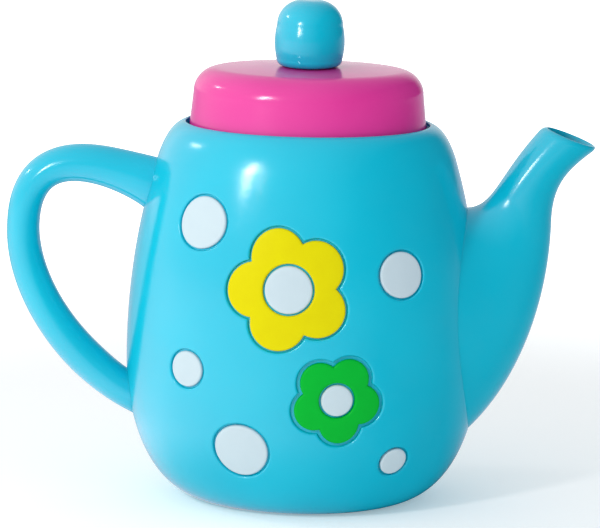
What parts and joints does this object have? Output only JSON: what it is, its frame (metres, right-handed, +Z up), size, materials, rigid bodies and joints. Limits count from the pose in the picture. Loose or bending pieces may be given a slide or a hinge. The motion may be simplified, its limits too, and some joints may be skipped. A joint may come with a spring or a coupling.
{
  "type": "toy teapot",
  "caption": "Toy teapot for pretend play: hollow oval pot with loop handle and spout, lift-off lid with a knob, and inlaid flowers and dots.",
  "frame": {"origin": "middle of the pot's flat foot, under the lid's axis", "axes": "+Z up, +X towards the spout, -Y towards the decorated front"},
  "size_m": [0.1759, 0.0831, 0.1507],
  "materials": {
    "pot_blue": "glossy moulded ABS, light blue",
    "lid_pink": "glossy moulded ABS, pink",
    "petal_yellow": "satin yellow plastic inlay",
    "petal_green": "satin green plastic inlay",
    "dot_white": "satin white plastic inlay",
    "screw_steel": "plain steel"
  },
  "bodies": {
    "pot": {"front_shell": "pot_blue", "rear_shell": "pot_blue", "shell_screws": "screw_steel", "spout_front_half": "pot_blue", "spout_rear_half": "pot_blue", "handle_front_half": "pot_blue", "handle_rear_half": "pot_blue", "yellow_flower": "petal_yellow", "yellow_flower_eye": "dot_white", "green_flower": "petal_green", "green_flower_eye": "dot_white", "dot_upper_left": "dot_white", "dot_right": "dot_white", "dot_mid_left": "dot_white", "dot_lower_left": "dot_white", "dot_lower_right": "dot_white"},
    "lid": {"lid_cap": "lid_pink", "lid_plug": "lid_pink", "knob": "pot_blue", "knob_screw": "screw_steel"}
  },
  "joints": [
    {"name": "lid_lift", "type": "slide", "parent": "pot", "child": "lid", "axis": [0, 0, 1], "range_m": [0, 0.06]}
  ]
}
